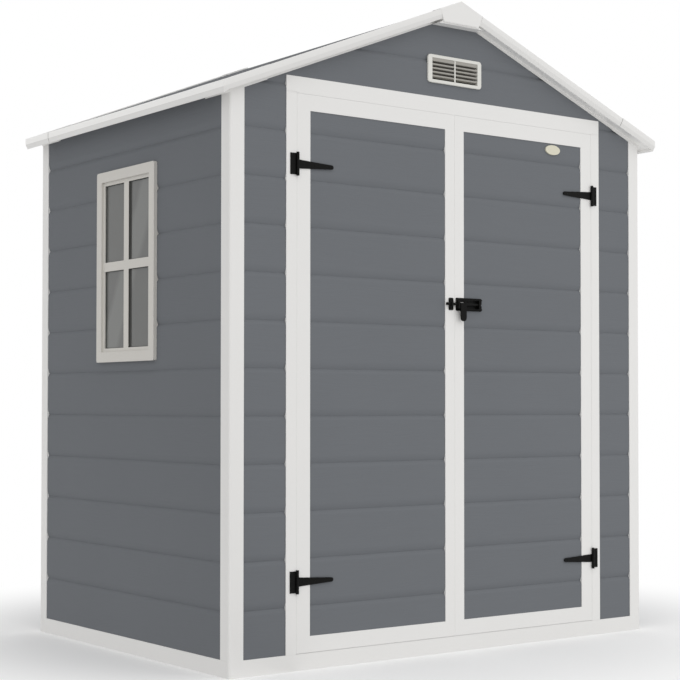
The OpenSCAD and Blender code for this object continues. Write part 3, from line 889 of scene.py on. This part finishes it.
def vent(node):
    """A gable vent: a rounded frame with a sleeve through the wall, a mullion, and blades that
    slope down into the shed. The blades' greyer white is painted shade of the recess."""
    low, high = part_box(node)
    out = -1 if low.y < 0 else 1
    face, back = (low.y, high.y) if out < 0 else (high.y, low.y)
    board = out * abs(BOARD_Y)
    opening = (low.x + VENT_SIDE, high.x - VENT_SIDE, low.z + VENT_EDGE, high.z - VENT_EDGE)
    bm = bmesh.new()
    ring(bm, (low.x, high.x, low.z, high.z), opening, face, board, 1, VENT_CORNER)
    bmesh.ops.recalc_face_normals(bm, faces=bm.faces)
    left, right, foot, top = opening
    middle_z = (low.z + high.z) / 2

    def on_outer_rim(point):
        past_side = abs(point.x) > right + VENT_RIM
        past_level = abs(point.z - middle_z) > (top - foot) / 2 + VENT_RIM
        return abs(point.y - face) < MM and (past_side or past_level)

    round_edges(bm, VENT_ROUND, RIM_STEPS, on_outer_rim)
    round_edges(bm, VENT_FINE_EDGE, 2)
    sleeve = (low.x + VENT_FLANGE, high.x - VENT_FLANGE, low.z + VENT_FLANGE, high.z - VENT_FLANGE)
    ring(bm, sleeve, opening, board, back, 1)
    # The mullion and the blades reach 1 mm into the frame
    mullion = [(-MULLION_HALF, foot - MM), (MULLION_HALF, foot - MM),
               (MULLION_HALF, top + MM), (-MULLION_HALF, top + MM)]
    prism(bm, mullion, face - out * MULLION_IN, face - out * MULLION_BACK, 1)
    finish_moulding(bm, node)
    bm = bmesh.new()
    for row in range(VENT_ROWS):
        section = TOP_BLADE if row == VENT_ROWS - 1 else BLADE
        edge = foot + (row + 1) * BLADE_PITCH + BLADE_LIFT
        outline = [(face - out * (BLADE_IN + depth * MM), edge + rise * MM)
                   for depth, rise in section]
        prism(bm, outline, left - MM, right + MM, 0)
    # The blades take the greyer white of painted shade
    finish_moulding(bm, node, "_blades", False, "vent_blades_painted_shade")


vent("front_vent")
vent("back_vent")

# ---- Roof, floor and hardware ----

# Width of the rounded edges and the number of steps in them
EDGES = {
    "left_roof_panel": (1.0 * MM, 2),
    "right_roof_panel": (1.0 * MM, 2),
    "ridge_cap": (1.0 * MM, 2),
    "floor_panel": (1.5 * MM, 2),
    "hinge_plates": (0.5 * MM, 2),
    "left_hinge_straps": (0.5 * MM, 2),
    "right_hinge_straps": (0.5 * MM, 2),
    "latch_keeper": (0.6 * MM, 2),
    "latch_body": (0.6 * MM, 2),
    "latch_bolt": (0.6 * MM, 2),
    "badge_plate": (1.2 * MM, 3),
}
for node, (width, steps) in EDGES.items():
    moulded(node, width, steps)

PLATE_T = 3 * MM
PLATE_W = 20 * MM
KNUCKLE_HALF = 38.5 * MM
SCREW_R = 3.2 * MM
SCREW_H = 1.1 * MM
SCREW_SUNK = 0.1 * MM
# Where the screws are: up and down from the middle of a plate, in from the hinge line along a
# strap, in from the end of the bolt's plate, and up and down in that and in the keeper
PLATE_SCREWS = (-24 * MM, 0.0, 24 * MM)
STRAP_SCREWS = (25 * MM, 70 * MM, 128 * MM)
BOLT_SCREWS_IN = (55 * MM, 84 * MM)
BOLT_SCREWS_UP = (-9.5 * MM, 9.5 * MM)
KEEPER_SCREWS = (-15 * MM, 15 * MM)
# A thin black sheet behind the hinge knuckles: painted shadow in the notch where the jamb would
# show
NOTCH_SHADOW_IN = 2 * MM
NOTCH_SHADOW_END = 4 * MM
NOTCH_SHADOW_PAST = 0.4 * MM
NOTCH_SHADOW_T = 0.6 * MM


def screws(name, body, places):
    """Domed screw heads on the front of a plate, given as pairs in X and Z."""
    bm = bmesh.new()
    for x, z in places:
        dome(bm, x, FRONT_Y - PLATE_T + SCREW_SUNK, z, SCREW_R, SCREW_H)
    smooth(put(name, mesh_of(name, bm), "hardware", body), SMOOTH_SCREWS)


def hinge_details():
    """Screws in the hinges, and a thin black sheet behind each fixed leaf's knuckles, shaped as a
    fold of the leaf, which paints the shadow in the notch there.
    """
    low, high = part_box("hinge_plates")
    levels = (low.z + KNUCKLE_HALF, high.z - KNUCKLE_HALF)
    plate_x = high.x - PLATE_W / 2
    screws("plate_screws", "shed", [(side * plate_x, z + up) for side in (-1, 1) for z in levels
                                    for up in PLATE_SCREWS])
    for body, side in (("left_door", -1), ("right_door", 1)):
        screws(body + "_strap_screws", body, [(side * (HINGE_X - reach), z) for z in levels
                                              for reach in STRAP_SCREWS])
    notch_shadow_x0 = plate_x - PLATE_W / 2 + NOTCH_SHADOW_IN
    notch_shadow_x1 = HINGE_X + NOTCH_SHADOW_PAST
    bm = bmesh.new()
    for side in (-1, 1):
        for z in levels:
            foot, top = z - KNUCKLE_HALF + NOTCH_SHADOW_END, z + KNUCKLE_HALF - NOTCH_SHADOW_END
            notch_shadow = [(side * notch_shadow_x0, foot), (side * notch_shadow_x1, foot),
                    (side * notch_shadow_x1, top), (side * notch_shadow_x0, top)]
            prism(bm, notch_shadow, FRONT_Y - NOTCH_SHADOW_T, FRONT_Y, 1)
    put("hinge_notch_shadows", mesh_of("hinge_notch_shadows", bm), "hardware", "shed")


def latch_details():
    """Screws in the bolt's plate and in its keeper."""
    low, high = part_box("latch_body")
    middle = (low.z + high.z) / 2
    screws("latch_screws", "right_door", [(low.x + reach, middle + up) for reach in BOLT_SCREWS_IN
                                          for up in BOLT_SCREWS_UP])
    low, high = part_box("latch_keeper")
    screws("keeper_screws", "left_door", [((low.x + high.x) / 2, middle + up)
                                          for up in KEEPER_SCREWS])


hinge_details()
latch_details()
# The pane keeps its own solid, with the glazing as its material
pane_materials = frame["nodes"]["window_glass"].data.materials
pane_materials.clear()
pane_materials.append(MATERIALS["window_glass"])

# ---- Stage ----

# Distances from the middle, in metres, over which the floor turns white to the camera, and over
# which the light that it gives back rises from its level under the shed to its level around
FLOOR_HALF = 40.0
WHITE_FROM, WHITE_TO = 1.1, 2.2
LIT_FROM, LIT_TO = 0.9, 2.8
FLOOR_SHADED = 0.8
FLOOR_LIGHT = 1.06

# The world: its mean level, how much more of it comes from the front, and from where
AMBIENT = 0.64
FRONT_LIGHT = 0.74
FRONT_AZIMUTH = math.radians(-3)
FRONT_ELEVATION = math.radians(45)


def stage_floor():
    """A pale floor that keeps the shed's shadow and turns plain white far from it."""
    mesh = bpy.data.meshes.new("stage_floor")
    corners = [(x * FLOOR_HALF, y * FLOOR_HALF, 0) for x, y in ((-1, -1), (1, -1), (1, 1), (-1, 1))]
    mesh.from_pydata(corners, [], [(0, 1, 2, 3)])
    floor = bpy.data.objects.new("stage_floor", mesh)
    bpy.context.scene.collection.objects.link(floor)
    material = bpy.data.materials.new("stage_floor")
    material.use_nodes = True
    n = Nodes(material.node_tree)
    n.tree.nodes.clear()
    output = n.add("ShaderNodeOutputMaterial")
    rays = n.add("ShaderNodeLightPath").outputs
    from_middle = n.add("ShaderNodeVectorMath", operation="LENGTH")
    n.link(n.add("ShaderNodeTexCoord").outputs["Object"], from_middle.inputs[0])
    distance = from_middle.outputs["Value"]
    matte = n.add("ShaderNodeBsdfDiffuse")
    n.feed(matte, "Color", (0.9, 0.9, 0.9, 1))
    fade = n.spread(distance, WHITE_FROM, WHITE_TO, 0.0, 1.0, interpolation_type="SMOOTHSTEP")
    white_part = n.math("MULTIPLY", fade, rays["Is Camera Ray"])
    seen = n.mix_shaders(white_part, matte.outputs[0], n.emission(1.0))
    shade = n.spread(distance, LIT_FROM, LIT_TO, FLOOR_SHADED, FLOOR_LIGHT,
                     interpolation_type="SMOOTHSTEP")
    surface = n.mix_shaders(rays["Is Diffuse Ray"], seen, n.emission(shade))
    n.link(surface, output.inputs["Surface"])
    mesh.materials.append(material)


def world():
    """Even light all round, brighter from the front and above, which looks plain white to the
    camera and in reflections."""
    made = bpy.data.worlds.new("studio")
    bpy.context.scene.world = made
    made.use_nodes = True
    n = Nodes(made.node_tree)
    background = n.tree.nodes["Background"]
    background.inputs["Color"].default_value = (1, 1, 1, 1)
    facing = n.add("ShaderNodeVectorMath", operation="DOT_PRODUCT")
    n.link(n.add("ShaderNodeTexCoord").outputs["Generated"], facing.inputs[0])
    facing.inputs[1].default_value = (-math.sin(FRONT_AZIMUTH) * math.cos(FRONT_ELEVATION),
                                      -math.cos(FRONT_AZIMUTH) * math.cos(FRONT_ELEVATION),
                                      math.sin(FRONT_ELEVATION))
    light = n.spread(facing.outputs["Value"], -1.0, 1.0, AMBIENT - FRONT_LIGHT,
                     AMBIENT + FRONT_LIGHT)
    rays = n.add("ShaderNodeLightPath").outputs
    seen = n.math("MAXIMUM", rays["Is Camera Ray"], rays["Is Glossy Ray"])
    seen = n.math("MAXIMUM", seen, rays["Is Transmission Ray"])
    strength = n.add("ShaderNodeMix")
    n.link(seen, strength.inputs["Factor"])
    n.link(n.math("MAXIMUM", light, 0.0), strength.inputs[2])
    strength.inputs[3].default_value = 1.0
    n.link(strength.outputs[0], background.inputs["Strength"])


stage_floor()
world()
